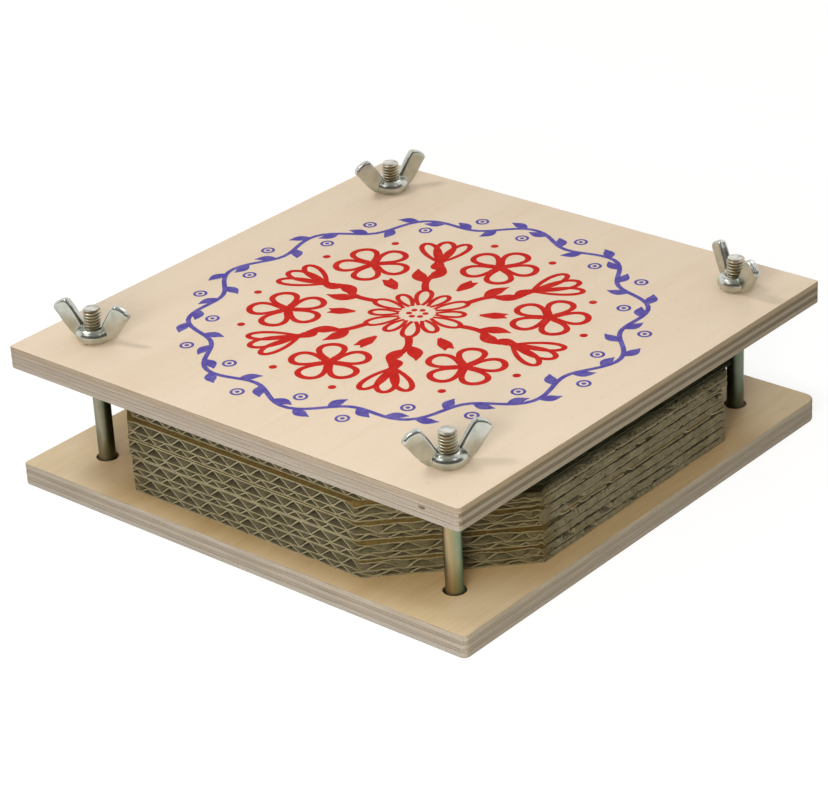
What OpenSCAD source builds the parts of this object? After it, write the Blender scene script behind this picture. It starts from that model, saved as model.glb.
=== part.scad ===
// Flower press: two plywood boards, four bolts with wing nuts, and a stack of
// corrugated cards and blotting papers squeezed between the boards.
// Millimetres, +Z up. The origin is the centre of the base board's underside.
// The front is -Y, and the cards' flutes run along Y.

/* [Boards] */
// Width and depth of each square board
board_w = 180; // [165:1:260]
// Thickness of the plywood
board_t = 7.2; // [6:0.1:12]
// Corner radius of the top board
top_corner_r = 1.6; // [0.5:0.1:6]
// Corner radius of the base board
base_corner_r = 3; // [0.5:0.1:6]
// Distance from a bolt's centre to the two nearest board edges
bolt_inset = 19; // [17:0.5:26]
// Diameter of the bolt holes through both boards
bolt_hole_d = 7; // [6:0.1:9]

/* [Bolts] */
// Diameter of the bolt over its thread
bolt_d = 5.8; // [5:0.05:6.3]
// Length of bolt that stands above the top board
bolt_proud = 10.65; // [8:0.05:14]
// Chamfer at the bolt's end
bolt_chamfer = 0.6; // [0.2:0.1:1]
// Diameter of the domed head
head_d = 15; // [12.5:0.1:17]
// Height of the domed head
head_h = 3; // [2:0.1:3.4]
// Height of the square neck under the head
neck_h = 3.2; // [2:0.1:3.6]
// Depth of the head's crown below the base board's underside
head_sink = 0.4; // [0.2:0.1:1]

/* [Wing nuts] */
// Distance over the two wing tips
wing_span = 26.2; // [24:0.1:30]
// Height of the wing tips above the nut's seat
wing_h = 12.9; // [10:0.1:16]
// Thickness of each wing
wing_t = 2.7; // [2:0.1:3.2]
// Largest diameter of the hub
hub_d = 11.2; // [10.4:0.1:12.5]
// Height of the hub
hub_h = 4.8; // [4:0.1:6.5]
// Radial clearance between the bolt's thread and the nut's
thread_gap = 0.05; // [0.02:0.01:0.1]

/* [Corrugated cards] */
// Number of corrugated cards in the stack
card_count = 5; // [1:1:7]
// Distance from the cards' sides to the board's edges
card_margin = 6.5; // [5:0.5:12]
// Distance from a bolt's axis to the cards' cut corner
corner_gap = 9.2; // [7:0.1:16]
// Thickness of each of a card's three liner sheets
liner_t = 0.25; // [0.15:0.05:0.5]
// Thickness of the fluted paper between the liners
flute_t = 0.25; // [0.15:0.05:0.5]
// Height of the lower, fine flute
fine_h = 2.2; // [1.6:0.1:3]
// Pitch of the lower, fine flute
fine_pitch = 6.62; // [5.5:0.01:7.5]
// Height of the upper, coarse flute
coarse_h = 3.2; // [2.4:0.1:4.5]
// Pitch of the upper, coarse flute
coarse_pitch = 8.17; // [7:0.01:9.5]
// Largest distance that a card lies out of line
card_slip = 3.6; // [0:0.1:4]

/* [Blotting papers] */
// Number of blotting papers on top of the cards
paper_count = 6; // [1:1:10]
// Thickness of one blotting paper
paper_t = 0.5; // [0.3:0.05:0.8]
// Distance from the papers' sides to the cards' sides
paper_margin = 1.5; // [0.5:0.5:6]

/* [Hidden] */
$fn = 48;

// Corners of the press, counted anticlockwise from the front left
CORNER_NAMES = ["front_left", "front_right", "back_right", "back_left"];
corner_sides = [[-1, -1], [1, -1], [1, 1], [-1, 1]];
// Turn of each wing nut about its bolt, in degrees from +X
wing_turns = [16, 57.5, -25.5, 68.5];

// Margin by which a cut runs past the surface that it opens
overrun = 1;

// Heights of the layers
card_t = 3 * liner_t + fine_h + coarse_h;
card_z = board_t;
paper_z = card_z + card_count * card_t;
top_board_z = paper_z + paper_count * paper_t;
nut_z = top_board_z + board_t;

// Places and sizes that follow the bolts
bolt_offset = board_w / 2 - bolt_inset;
seat_z = head_h + head_sink;
recess_gap = 0.6;
recess_d = head_d + 2 * recess_gap;
// The neck is a little wider than the thread, and its corners are rounded to the hole
neck_extra = 0.3;
neck_w = bolt_d + neck_extra;
neck_gap = 0.04;
neck_corner_d = bolt_hole_d - 2 * neck_gap;

// Outline shared by the cards: a square with its corners cut clear of the bolts
card_w = board_w - 2 * card_margin;
corner_cut = card_w - 2 * bolt_offset + corner_gap * sqrt(2);

// How far each card lies out of line, in x and y, as shares of card_slip
slip_shares = [[-0.2, 0.4], [-0.1, 0.3], [-0.3, 0.3], [-0.35, 0.4], [-0.4, 1]];
// Where the flutes of each card start, as shares of their pitch
fine_start_shares = [0.81, 0.17, 0.29, 0.31, 0.64];
coarse_start_shares = [0.17, 0.76, 0.64, 0, 0.5];

// Hub outline: its foot and rim as shares of its radius, its belly of its height
hub_foot_share = 0.78;
hub_rim_share = 0.72;
hub_belly_share = 0.4;
// Chamfer at the mouth of the nut's thread, as a share of the bolt's diameter
mouth_share = 0.06;
hub_step = 15;

// Wing outline in its own plane, as shares of half the span and of the height
wing_shares = [
  [0.29, 0.10], [0.38, 0.05], [0.53, 0.12], [0.71, 0.34], [0.98, 0.69],
  [1.00, 0.76], [0.91, 0.88], [0.79, 0.97], [0.66, 1.00], [0.60, 0.97],
  [0.44, 0.70], [0.32, 0.49], [0.29, 0.34]
];

// A value from a short list that starts again when it runs out
function cycled(list, k) = list[k % len(list)];

// Square with rounded corners, centred
module rounded_square(width, radius) {
  square([width - 2 * radius, width], center = true);
  square([width, width - 2 * radius], center = true);
  for (side = corner_sides)
    translate(side * (width / 2 - radius)) circle(radius);
}

// Square with its corners cut off at 45 degrees, centred
module cut_square(width, cut) {
  half = width / 2;
  flat = half - cut;
  polygon([
    [flat, -half], [half, -flat], [half, flat], [flat, half],
    [-flat, half], [-half, flat], [-half, -flat], [-flat, -half]
  ]);
}

// Children at each bolt's axis
module at_bolts() {
  for (side = corner_sides) translate(side * bolt_offset) children();
}

// Plywood board with the four bolt holes
module drilled_board(corner_r) {
  difference() {
    linear_extrude(board_t) rounded_square(board_w, corner_r);
    at_bolts() translate([0, 0, -overrun])
      cylinder(d = bolt_hole_d, h = board_t + 2 * overrun);
  }
}

// Base board, with a recess under each hole that takes the bolt's head
module base_board() {
  color("BurlyWood") difference() {
    drilled_board(base_corner_r);
    at_bolts() translate([0, 0, -overrun]) cylinder(d = recess_d, h = seat_z + overrun);
  }
}

// Top board, which slides on the bolts
module top_board() {
  color("Wheat") translate([0, 0, top_board_z]) drilled_board(top_corner_r);
}

// Domed head as a slice of a sphere, its flat side up at z = 0
module domed_head() {
  sphere_r = (pow(head_d / 2, 2) + pow(head_h, 2)) / (2 * head_h);
  rotate_extrude() intersection() {
    translate([0, sphere_r - head_h]) circle(sphere_r, $fn = 4 * $fn);
    translate([0, -head_h]) square([head_d / 2, head_h]);
  }
}

// Carriage bolt: domed head, square neck in the base board, chamfered end
module carriage_bolt(corner) {
  shank_h = nut_z + bolt_proud - seat_z;
  color("Silver") translate(concat(corner_sides[corner] * bolt_offset, [seat_z])) {
    domed_head();
    intersection() {
      translate([-neck_w / 2, -neck_w / 2, 0]) cube([neck_w, neck_w, neck_h]);
      cylinder(d = neck_corner_d, h = neck_h);
    }
    cylinder(d = bolt_d, h = shank_h - bolt_chamfer);
    translate([0, 0, shank_h - bolt_chamfer])
      cylinder(d1 = bolt_d, d2 = bolt_d - 2 * bolt_chamfer, h = bolt_chamfer);
  }
}

// Round hub with the bore for the bolt
module nut_hub() {
  hub_r = hub_d / 2;
  bore_r = bolt_d / 2 + thread_gap;
  mouth = mouth_share * bolt_d;
  foot_r = hub_r * hub_foot_share;
  rim_r = hub_r * hub_rim_share;
  belly_z = hub_h * hub_belly_share;
  rotate_extrude() polygon(concat(
    [[bore_r, 0]],
    [for (a = [0:hub_step:90])
      [foot_r + (hub_r - foot_r) * sin(a), belly_z * (1 - cos(a))]],
    [for (a = [hub_step:hub_step:90])
      [rim_r + (hub_r - rim_r) * cos(a), belly_z + (hub_h - belly_z) * sin(a)]],
    [[bore_r + mouth, hub_h], [bore_r, hub_h - mouth]]
  ));
}

// One flat wing standing out along +X
module wing() {
  translate([0, wing_t / 2, 0]) rotate([90, 0, 0]) linear_extrude(wing_t)
    polygon([for (p = wing_shares) [p.x * wing_span / 2, p.y * wing_h]]);
}

// Wing nut seated on the top board
module wing_nut(corner) {
  color("Gainsboro") translate(concat(corner_sides[corner] * bolt_offset, [nut_z]))
    rotate(wing_turns[corner]) {
      nut_hub();
      for (turn = [0, 180]) rotate(turn) wing();
    }
}

// The triangular openings that a flute leaves, in a row from z = 0 to z = height
module flute_openings(pitch, height, start) {
  wall = flute_t * sqrt(pow(pitch / 2, 2) + pow(height, 2)) / height;
  base = (pitch - wall) / 2;
  tip = height * (1 - wall / pitch);
  reach = ceil(card_w / pitch / 2) + 1;
  for (i = [-reach:reach]) {
    translate([(i + start) * pitch, 0])
      polygon([[-base, 0], [base, 0], [0, tip]]);
    translate([(i + start + 1 / 2) * pitch, height])
      polygon([[-base, 0], [0, -tip], [base, 0]]);
  }
}

// Double-wall corrugated card: liner, fine flute, liner, coarse flute, liner
module corrugated_card(k) {
  slip = cycled(slip_shares, k) * card_slip;
  color("RosyBrown") translate(concat(slip, [card_z + k * card_t])) intersection() {
    translate([0, card_w / 2, 0]) rotate([90, 0, 0]) linear_extrude(card_w)
      difference() {
        translate([-card_w / 2, 0]) square([card_w, card_t]);
        translate([0, liner_t])
          flute_openings(fine_pitch, fine_h, cycled(fine_start_shares, k));
        translate([0, 2 * liner_t + fine_h])
          flute_openings(coarse_pitch, coarse_h, cycled(coarse_start_shares, k));
      }
    linear_extrude(card_t) cut_square(card_w, corner_cut);
  }
}

// Blotting paper, cut to the cards' outline
module blotting_paper(k) {
  color("Linen") translate([0, 0, paper_z + k * paper_t])
    linear_extrude(paper_t) cut_square(card_w - 2 * paper_margin, corner_cut);
}

base_board();
top_board();
for (k = [0:len(CORNER_NAMES) - 1]) {
  carriage_bolt(k);
  wing_nut(k);
}
for (k = [1:card_count])
  corrugated_card(k - 1);
for (k = [1:paper_count])
  blotting_paper(k - 1);
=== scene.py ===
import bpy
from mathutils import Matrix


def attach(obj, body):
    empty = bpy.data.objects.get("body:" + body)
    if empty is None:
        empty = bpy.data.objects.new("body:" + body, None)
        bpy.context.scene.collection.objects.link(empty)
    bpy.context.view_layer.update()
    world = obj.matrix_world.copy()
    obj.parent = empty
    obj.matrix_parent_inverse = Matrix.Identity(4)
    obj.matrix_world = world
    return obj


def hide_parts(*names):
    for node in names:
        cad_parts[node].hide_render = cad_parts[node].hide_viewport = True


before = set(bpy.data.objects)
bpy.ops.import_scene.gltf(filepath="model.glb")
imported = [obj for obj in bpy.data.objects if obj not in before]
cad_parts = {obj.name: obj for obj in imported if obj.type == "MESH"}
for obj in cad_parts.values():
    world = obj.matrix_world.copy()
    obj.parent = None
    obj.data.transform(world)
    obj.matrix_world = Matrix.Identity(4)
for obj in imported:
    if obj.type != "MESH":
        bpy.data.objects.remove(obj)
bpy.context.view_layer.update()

import math

import bmesh
import bpy
from mathutils import Matrix, Vector, noise

# The room: a white sweep with the press standing on it, two lamps and three soft boxes, and a white
# surround. Dark screens on the camera's side and a grey ceiling show only in the zinc, as a dim
# studio does. The camera stands 0.9 m away and is rolled a little.
MM = 0.001
SWEEP_HALF, OPENING_HALF = 3, 85 * MM


def linear(hex_colour):
    """An sRGB colour such as "E8D4C0" as linear red, green, blue and alpha."""
    shares = [int(hex_colour[i:i + 2], 16) / 255 for i in (0, 2, 4)]
    return [c / 12.92 if c <= 0.04045 else ((c + 0.055) / 1.055) ** 2.4 for c in shares] + [1]


def add(tree, kind, inputs={}, stops=(), **settings):
    """A new node with its settings, its input values or links, and a colour ramp's stops."""
    node = tree.nodes.new("ShaderNode" + kind)
    for key, value in settings.items():
        setattr(node, key, value)
    for key, value in inputs.items():
        if isinstance(value, bpy.types.NodeSocket):
            tree.links.new(value, node.inputs[key])
        else:
            node.inputs[key].default_value = value
    for i, (place, colour) in enumerate(stops):
        stop = node.color_ramp.elements[i] if i < 2 else node.color_ramp.elements.new(place)
        stop.position, stop.color = place, linear(colour)
    return node


def new_material(name, values):
    """A node material, its tree and its Principled shader, with those values in its inputs."""
    made = bpy.data.materials.new(name)
    made.use_nodes = True
    tree = made.node_tree
    shader = tree.nodes["Principled BSDF"]
    for key, value in values.items():
        shader.inputs[key].default_value = value
    return made, tree, shader


def in_sight(tree):
    """1 for what the camera sees, also by reflection or through something, and 0 for other light."""
    ray = add(tree, "LightPath").outputs
    sight = add(tree, "Math", {0: ray["Is Camera Ray"], 1: ray["Is Glossy Ray"]},
                operation="MAXIMUM")
    return add(tree, "Math", {0: sight.outputs[0], 1: ray["Is Transmission Ray"]},
               operation="MAXIMUM").outputs[0]


bpy.ops.object.select_all(action="DESELECT")
bpy.ops.mesh.primitive_plane_add(size=2 * SWEEP_HALF, location=(0, 0, -0.1 * MM))
sweep = bpy.context.object
sweep.name = "sweep"
# it lies 0.1 mm lower than the press and is open under its middle, so that the underside shows
# from below
bpy.ops.object.mode_set(mode="EDIT")
bpy.ops.mesh.inset(thickness=SWEEP_HALF - OPENING_HALF)
bpy.ops.mesh.delete(type="FACE")
bpy.ops.object.mode_set(mode="OBJECT")
sweep_paper, tree, shader = new_material("matte_white_paper", {"Base Color": linear("E6E4E0"),
                                                               "Roughness": 0.9})
glow = add(tree, "Emission", {"Color": linear("FFFFFF"), "Strength": 0.84})
matte = add(tree, "BsdfDiffuse", {"Color": linear("86857F")})
both = add(tree, "AddShader", {0: glow.outputs[0], 1: matte.outputs[0]})
mixed = add(tree, "MixShader", {0: in_sight(tree), 1: shader.outputs[0], 2: both.outputs[0]})
tree.links.new(mixed.outputs[0], tree.nodes["Material Output"].inputs["Surface"])
sweep.data.materials.append(sweep_paper)

world = bpy.data.worlds.new("white_surround")
bpy.context.scene.world = world
world.use_nodes = True
tree = world.node_tree
strength = add(tree, "MapRange", {"Value": in_sight(tree), "To Min": 0.4, "To Max": 1.0})
surround = tree.nodes["Background"]
surround.inputs["Color"].default_value = linear("FFFFFF")
tree.links.new(strength.outputs[0], surround.inputs["Strength"])


def lamp(name, place, size, watts, in_metal=True):
    """A square area lamp that faces the press's middle, and shows in the metal or not."""
    bpy.ops.object.light_add(type="AREA", location=place)
    made = bpy.context.object
    made.name = name
    made.visible_glossy = in_metal
    made.data.size, made.data.energy = size, watts
    made.rotation_euler = (Vector((0, 0, 0.03)) - Vector(place)).to_track_quat("-Z", "Y").to_euler()


lamp("high_left_lamp", (-0.62, -0.25, 1.05), 0.25, 3.3)
lamp("high_back_lamp", (-0.15, 0.9, 1.0), 0.25, 0.6)
lamp("left_soft_box", (-0.32, -0.98, 0.98), 0.55, 1.7)
lamp("right_soft_box", (0.95, -0.08, 1.05), 0.36, 0.7)
lamp("low_soft_box", (0.36, -0.71, 0.29), 0.35, 6.3, in_metal=False)

for name, cloth, heading, height, away, tilt, size in (
        ("screen_left", "85817A", -15, 0.8, 1.9, 90, (2.1, 1.7, 1)),
        ("screen_middle", "85817A", 42, 0.8, 1.9, 90, (2.1, 1.7, 1)),
        ("screen_right", "85817A", 99, 0.8, 1.9, 90, (2.1, 1.7, 1)),
        ("ceiling", "C4C3BE", 0, 1.3, 0.55, 180, (3.2, 1.9, 1))):
    around = math.radians(heading)
    place = away * math.sin(around), -away * math.cos(around), height
    bpy.ops.mesh.primitive_plane_add(size=1, location=place, rotation=(math.radians(tilt), 0, around))
    screen = bpy.context.object
    screen.name = name
    screen.scale = size
    screen.data.materials.append(new_material("grey_cloth_" + name, {"Base Color": linear(cloth),
                                                                     "Roughness": 0.9})[0])
    screen.visible_camera = screen.visible_diffuse = screen.visible_shadow = False
    screen.visible_transmission = False

# the camera circles a point 27 mm up in the press, then shifts a little to the left and down;
# these angles, metres and pixels were fitted to the photograph
TURN, RISE, ROLL = (math.radians(a) for a in (41.4078, 27.0515, -3.1017))
AIM_HEIGHT, DISTANCE, LEFTWARDS, DOWNWARDS = 0.027, 0.89737, 0.00203, 0.00995
FOCAL_PIXELS, PHOTO_PIXELS, SENSOR_WIDTH = 2845.85, 828, 36
back = Vector((math.sin(TURN) * math.cos(RISE), -math.cos(TURN) * math.cos(RISE), math.sin(RISE)))
level = Vector((math.cos(TURN), math.sin(TURN), 0))
upward = back.cross(level)
right = level * math.cos(ROLL) + upward * math.sin(ROLL)
upward = upward * math.cos(ROLL) - level * math.sin(ROLL)
eye = Vector((0, 0, AIM_HEIGHT)) + back * DISTANCE - right * LEFTWARDS - upward * DOWNWARDS
bpy.ops.object.camera_add()
camera = bpy.context.object
camera.matrix_world = Matrix.Translation(eye) @ Matrix((right, upward, back)).transposed().to_4x4()
camera.data.sensor_width = SENSOR_WIDTH
camera.data.lens = FOCAL_PIXELS / PHOTO_PIXELS * SENSOR_WIDTH
camera.data.clip_start = 0.01
bpy.context.scene.camera = camera
bpy.context.scene.view_settings.view_transform = "Standard"

# Base board: 7.2 mm birch plywood of five plies, sawn square, its edges eased with sandpaper and
# its corners rounded, the back right one most. The face veneer's grain runs from front to back, so
# long grain and end grain show in turn. Each corner is drilled, and recessed from below.
BOARD_W, BOARD_T, EASED, SUNKEN = 180 * MM, 7.2 * MM, 0.35 * MM, 0.05 * MM
HOLE_R, RECESS_R, SEAT = 3.5 * MM, 8.1 * MM, 3.4 * MM
MULTIPLY = {"data_type": "RGBA", "blend_type": "MULTIPLY"}
BOLT_PLACES = {"front_left": (-71 * MM, -71 * MM), "front_right": (71 * MM, -71 * MM),
               "back_right": (71 * MM, 71 * MM), "back_left": (-71 * MM, 71 * MM)}
PLY_JOINTS = (1.9 * MM, 3.0 * MM, 4.5 * MM, 5.6 * MM)


def take(piece):
    """Makes the piece the only one that is selected and active."""
    bpy.ops.object.select_all(action="DESELECT")
    bpy.context.view_layer.objects.active = piece
    piece.select_set(True)
    return piece


def settle(piece, name):
    """Names the piece and moves its place into its mesh."""
    take(piece)
    bpy.ops.object.transform_apply(location=True, rotation=True, scale=True)
    piece.name = piece.data.name = name
    return piece


def pick(piece, kind, test):
    """In edit mode, selects only the verts, edges or faces whose middle and self pass the test."""
    bpy.ops.mesh.select_mode(type={"verts": "VERT", "edges": "EDGE", "faces": "FACE"}[kind])
    bpy.ops.mesh.select_all(action="DESELECT")
    shape = bmesh.from_edit_mesh(piece.data)
    shape.normal_update()
    for part in getattr(shape, kind):
        corners = [part.co] if kind == "verts" else [v.co for v in part.verts]
        if test(sum(corners, Vector()) / len(corners), part):
            part.select_set(True)
    bmesh.update_edit_mesh(piece.data)


def finish_with(piece, kind, **settings):
    """Adds a modifier to the piece and applies it."""
    take(piece)
    modifier = piece.modifiers.new(kind.lower(), kind)
    for key, value in settings.items():
        setattr(modifier, key, value)
    bpy.ops.object.modifier_apply(modifier=modifier.name)


def cut_away(piece, cutter):
    """Cuts the cutter's shape out of the piece and throws the cutter away."""
    finish_with(piece, "BOOLEAN", object=cutter, operation="DIFFERENCE", solver="EXACT")
    bpy.data.objects.remove(cutter)


def rod(radius, low, high, place):
    """A round rod that stands at that place, from low to high."""
    bpy.ops.mesh.primitive_cylinder_add(vertices=48, radius=radius, depth=high - low,
                                        location=(*place, (low + high) / 2))
    return bpy.context.object


def plywood_board(name, low, corner_radius, back_right_radius):
    """A square board with rounded corners, eased edges, sunken softer plies and bolt holes."""
    high = low + BOARD_T
    bpy.ops.mesh.primitive_cube_add(size=1, location=(0, 0, (low + high) / 2))
    board = bpy.context.object
    board.scale = (BOARD_W, BOARD_W, BOARD_T)
    settle(board, name)
    bpy.ops.object.mode_set(mode="EDIT")
    for radius, back_right in ((back_right_radius, True), (corner_radius, False)):
        pick(board, "edges", lambda middle, edge: abs(middle.z - (low + high) / 2) < MM
             and (min(middle.x, middle.y) > 0) == back_right)
        bpy.ops.mesh.bevel(offset=radius, segments=8)
    pick(board, "edges", lambda middle, edge: abs(edge.verts[0].co.z - edge.verts[1].co.z) < MM / 10)
    bpy.ops.mesh.bevel(offset=EASED, segments=2)
    for joint in PLY_JOINTS:
        bpy.ops.mesh.select_all(action="SELECT")
        bpy.ops.mesh.bisect(plane_co=(0, 0, low + joint), plane_no=(0, 0, 1))
    sunken = (PLY_JOINTS[0], PLY_JOINTS[1]), (PLY_JOINTS[2], PLY_JOINTS[3])
    pick(board, "faces", lambda middle, face: any(a < middle.z - low < b for a, b in sunken))
    bpy.ops.mesh.extrude_region_shrink_fatten(TRANSFORM_OT_shrink_fatten={"value": -SUNKEN})
    bpy.ops.object.mode_set(mode="OBJECT")
    for place in BOLT_PLACES.values():
        cut_away(board, rod(HOLE_R, low - MM, high + MM, place))
    bpy.ops.object.mode_set(mode="EDIT")

    def on_a_rim(middle, edge):
        near = [abs(math.dist(v.co.xy, place) - HOLE_R) < 0.02 * MM
                for place in BOLT_PLACES.values() for v in edge.verts]
        return sum(near) == 2 and edge.verts[0].co.z == edge.verts[1].co.z
    pick(board, "edges", on_a_rim)
    bpy.ops.mesh.bevel(offset=0.2 * MM, segments=2)
    bpy.ops.object.mode_set(mode="OBJECT")
    return board


def dress(tree, shader, colour, height, strength, depth):
    """Gives the shader its colour, and bumps from that pattern of heights, up to that depth."""
    tree.links.new(colour, shader.inputs["Base Color"])
    bump = add(tree, "Bump", {"Height": height, "Strength": strength, "Distance": depth})
    tree.links.new(bump.outputs[0], shader.inputs["Normal"])


def veneer_finish(name, pale, mid, deep, painted_stack_shade=None):
    """Rotary-cut birch veneer, sanded smooth: pale, with long faint bands and fine dark flecks."""
    made, tree, shader = new_material(name, {"Roughness": 0.55})
    here = add(tree, "TexCoord").outputs["Object"]
    # growth bands are 8 to 20 mm wide, and run 150 mm or more along Y
    bands = add(tree, "Mapping", {"Vector": here, "Scale": (80, 6, 80)})
    bands = add(tree, "TexNoise", {"Vector": bands.outputs[0], "Scale": 1, "Detail": 4,
                                   "Roughness": 0.55, "Distortion": 0.6})
    # fibres are drawn 0.4 mm wide and 12 mm long; the real ones are too fine to show
    fibres = add(tree, "Mapping", {"Vector": here, "Scale": (2400, 85, 2400)})
    fibres = add(tree, "TexNoise", {"Vector": fibres.outputs[0], "Scale": 1, "Detail": 3})
    blend = add(tree, "Mix", {0: 0.3, 2: bands.outputs["Fac"], 3: fibres.outputs["Fac"]})
    tone = add(tree, "ValToRGB", {"Fac": blend.outputs[0]},
               [(0.36, deep), (0.64, pale), (0.5, mid)])
    # the dark flecks are 0.7 mm wide and 3 mm long
    flecks = add(tree, "Mapping", {"Vector": here, "Scale": (1500, 330, 1500)})
    flecks = add(tree, "TexNoise", {"Vector": flecks.outputs[0], "Scale": 1, "Detail": 1})
    flecks = add(tree, "ValToRGB", {"Fac": flecks.outputs["Fac"]},
                 [(0.27, "000000"), (0.33, "FFFFFF")])
    tone = add(tree, "Mix", {0: 0.07, 6: tone.outputs[0], 7: flecks.outputs[0]}, **MULTIPLY)
    if painted_stack_shade:
        # painted shade: darker, yellower veneer by the stack, fading to clean wood 20 mm away
        point = add(tree, "SeparateXYZ", {"Vector": here})
        x = add(tree, "Math", {0: point.outputs["X"]}, operation="ABSOLUTE").outputs[0]
        y = add(tree, "Math", {0: point.outputs["Y"]}, operation="ABSOLUTE").outputs[0]
        across = add(tree, "Math", {0: x, 1: y}, operation="ADD").outputs[0]
        across = add(tree, "MapRange", {"Value": across, "From Min": 129 * MM,
                                        "From Max": 160 * MM})
        square = add(tree, "Math", {0: x, 1: y}, operation="MAXIMUM").outputs[0]
        square = add(tree, "MapRange", {"Value": square, "From Min": 83 * MM,
                                        "From Max": 103 * MM})
        far = add(tree, "Math", {0: across.outputs[0], 1: square.outputs[0]}, operation="MAXIMUM")
        stack_shade_ramp = add(tree, "ValToRGB", {"Fac": far.outputs[0]}, [(0.0, painted_stack_shade), (0.9, "FFFFFF")])
        tone = add(tree, "Mix", {0: 1.0, 6: tone.outputs[2], 7: stack_shade_ramp.outputs[0]}, **MULTIPLY)
    dress(tree, shader, tone.outputs[2], fibres.outputs["Fac"], 0.1, 0.05 * MM)
    return made


def edge_finish(name, low, plies, glue):
    """Sawn plywood edge: a colour per ply from below up, darker glue lines, long saw streaks."""
    made, tree, shader = new_material(name, {"Roughness": 0.85})
    here = add(tree, "TexCoord").outputs["Object"]
    place = add(tree, "SeparateXYZ", {"Vector": here})
    # streaks are 0.4 mm high and 15 mm long, and the blade's fuzz is 0.5 mm across
    streaks = add(tree, "Mapping", {"Vector": here, "Scale": (65, 65, 2600)})
    streaks = add(tree, "TexNoise", {"Vector": streaks.outputs[0], "Scale": 1, "Detail": 5,
                                     "Roughness": 0.6})
    fuzz = add(tree, "TexNoise", {"Vector": here, "Scale": 1800, "Detail": 2})
    # the ply joints wander by up to 0.15 mm every 17 mm or so, as the veneers swell and sink
    wander = add(tree, "Mapping", {"Vector": here, "Scale": (60, 60, 60)})
    wander = add(tree, "TexNoise", {"Vector": wander.outputs[0], "Scale": 1, "Detail": 2})
    height = add(tree, "MapRange", {"Value": place.outputs["Z"], "From Min": low,
                                    "From Max": low + BOARD_T}).outputs[0]
    shift = add(tree, "MapRange", {"Value": wander.outputs["Fac"], "To Min": -0.035,
                                   "To Max": 0.035}).outputs[0]
    height = add(tree, "Math", {0: height, 1: shift}, operation="ADD").outputs[0]
    stops = [(0, plies[0])]
    for joint, colour in zip(PLY_JOINTS, plies[1:]):
        share = joint / BOARD_T
        stops += [(share - 0.025, stops[-1][1]), (share - 0.006, glue), (share + 0.006, glue),
                  (share + 0.025, colour)]
    banding = add(tree, "ValToRGB", {"Fac": height}, stops)
    fibre = add(tree, "ValToRGB", {"Fac": streaks.outputs["Fac"]},
                [(0.3, "B4AAA0"), (0.68, "FFFFFF")])
    tone = add(tree, "Mix", {0: 0.45, 6: banding.outputs[0], 7: fibre.outputs[0]}, **MULTIPLY)
    speck = add(tree, "ValToRGB", {"Fac": fuzz.outputs["Fac"]}, [(0.35, "C8C0B8"), (0.6, "FFFFFF")])
    tone = add(tree, "Mix", {0: 0.3, 6: tone.outputs[2], 7: speck.outputs[0]}, **MULTIPLY)
    dress(tree, shader, tone.outputs[2], streaks.outputs["Fac"], 0.35, 0.1 * MM)
    return made


def paint_board(board, ending, low, veneer, *edges):
    """Gives the veneer to the flat faces, and edge finishes to the sides and inside the holes."""
    board.data.materials.append(veneer)
    for kind, (plies, glue) in zip(("birch_end_plies", "birch_long_plies", "hole_shade_birch"),
                                   edges):
        board.data.materials.append(edge_finish(kind + ending, low, plies, glue))
    for face in board.data.polygons:
        inside = 0.5 * MM < face.center.z - low < BOARD_T - 0.5 * MM
        if inside or abs(face.normal.z) < 0.95:
            face.material_index = 1 if abs(face.normal.y) > abs(face.normal.x) else 2
        # the holes' walls get the darkest finish, listed last: painted shade in the deep narrow holes
        if min(math.dist(face.center.xy, place) for place in BOLT_PLACES.values()) < HOLE_R + 0.05 * MM:
            face.material_index = 3


base = plywood_board("base_plywood", 0, 2 * MM, 4.5 * MM)
for place in BOLT_PLACES.values():
    cut_away(base, rod(RECESS_R, -MM, SEAT, place))
# the base's veneer is darker than the top's: painted shade of the top board above it
paint_board(base, "_base", 0,
            veneer_finish("birch_veneer_base", "D8C3A1", "D1BB95", "C8B085", "DED2BC"),
            (("A0998D", "978D7E", "9F9585", "94897A", "A49988"), "887D6F"),
            (("A59A88", "9E927F", "A39885", "9D927D", "AB9F88"), "948875"),
            (("7E6238", "725833", "7C613A", "6E532C", "86693C"), "5A4324"))
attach(base, "base")
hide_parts("base_board")

# Top board: the same plywood, its corners barely rounded. It slides on the four bolts. A small
# core void shows as a dark slit in its front edge, as birch plywood often has.
TOP_LOW = 40.95 * MM
TOP_HIGH = TOP_LOW + BOARD_T
top = plywood_board("top_plywood", TOP_LOW, 1.6 * MM, 1.6 * MM)
bpy.ops.mesh.primitive_ico_sphere_add(subdivisions=3, radius=1,
                                      location=(76.7 * MM, -BOARD_W / 2, 44.7 * MM))
void = bpy.context.object
void.scale = (1.35 * MM, 2.8 * MM, 0.5 * MM)
cut_away(top, settle(void, "void"))
paint_board(top, "_top", TOP_LOW,
            veneer_finish("birch_veneer_top", "E9D5BA", "E7D2B6", "E3CDB0"),
            (("9F9588", "A29786", "9B9082", "A19483", "9B8C78"), "8A7E70"),
            (("9A8F78", "796B57", "9B907A", "7B6E56", "A29073"), "756955"),
            (("5C4830", "513F2A", "5A4630", "4E3C27", "64502F"), "40311F"))
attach(top, "top_board")
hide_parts("top_board")

# Carriage bolts: M6 steel with a smooth shank and 29 mm of rolled thread, zinc plated with a thin
# yellow and blue-green passivation. A domed head sits in the base board's recess, and a square
# neck bites into the hole, so that the bolt can't turn.
THREAD_PITCH, ROOT, CREST, THREAD_LOW = MM, 2.36 * MM, 2.88 * MM, 29.5 * MM
HEAD_R, HEAD_H, NECK_W, NECK_TOP, SHANK_R = 7.5 * MM, 3 * MM, 6.1 * MM, 6.7 * MM, 2.74 * MM
BOLT_TIPS = {"front_left": 59.01 * MM, "front_right": 59.22 * MM, "back_right": 58.615 * MM,
             "back_left": 58.51 * MM}


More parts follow.
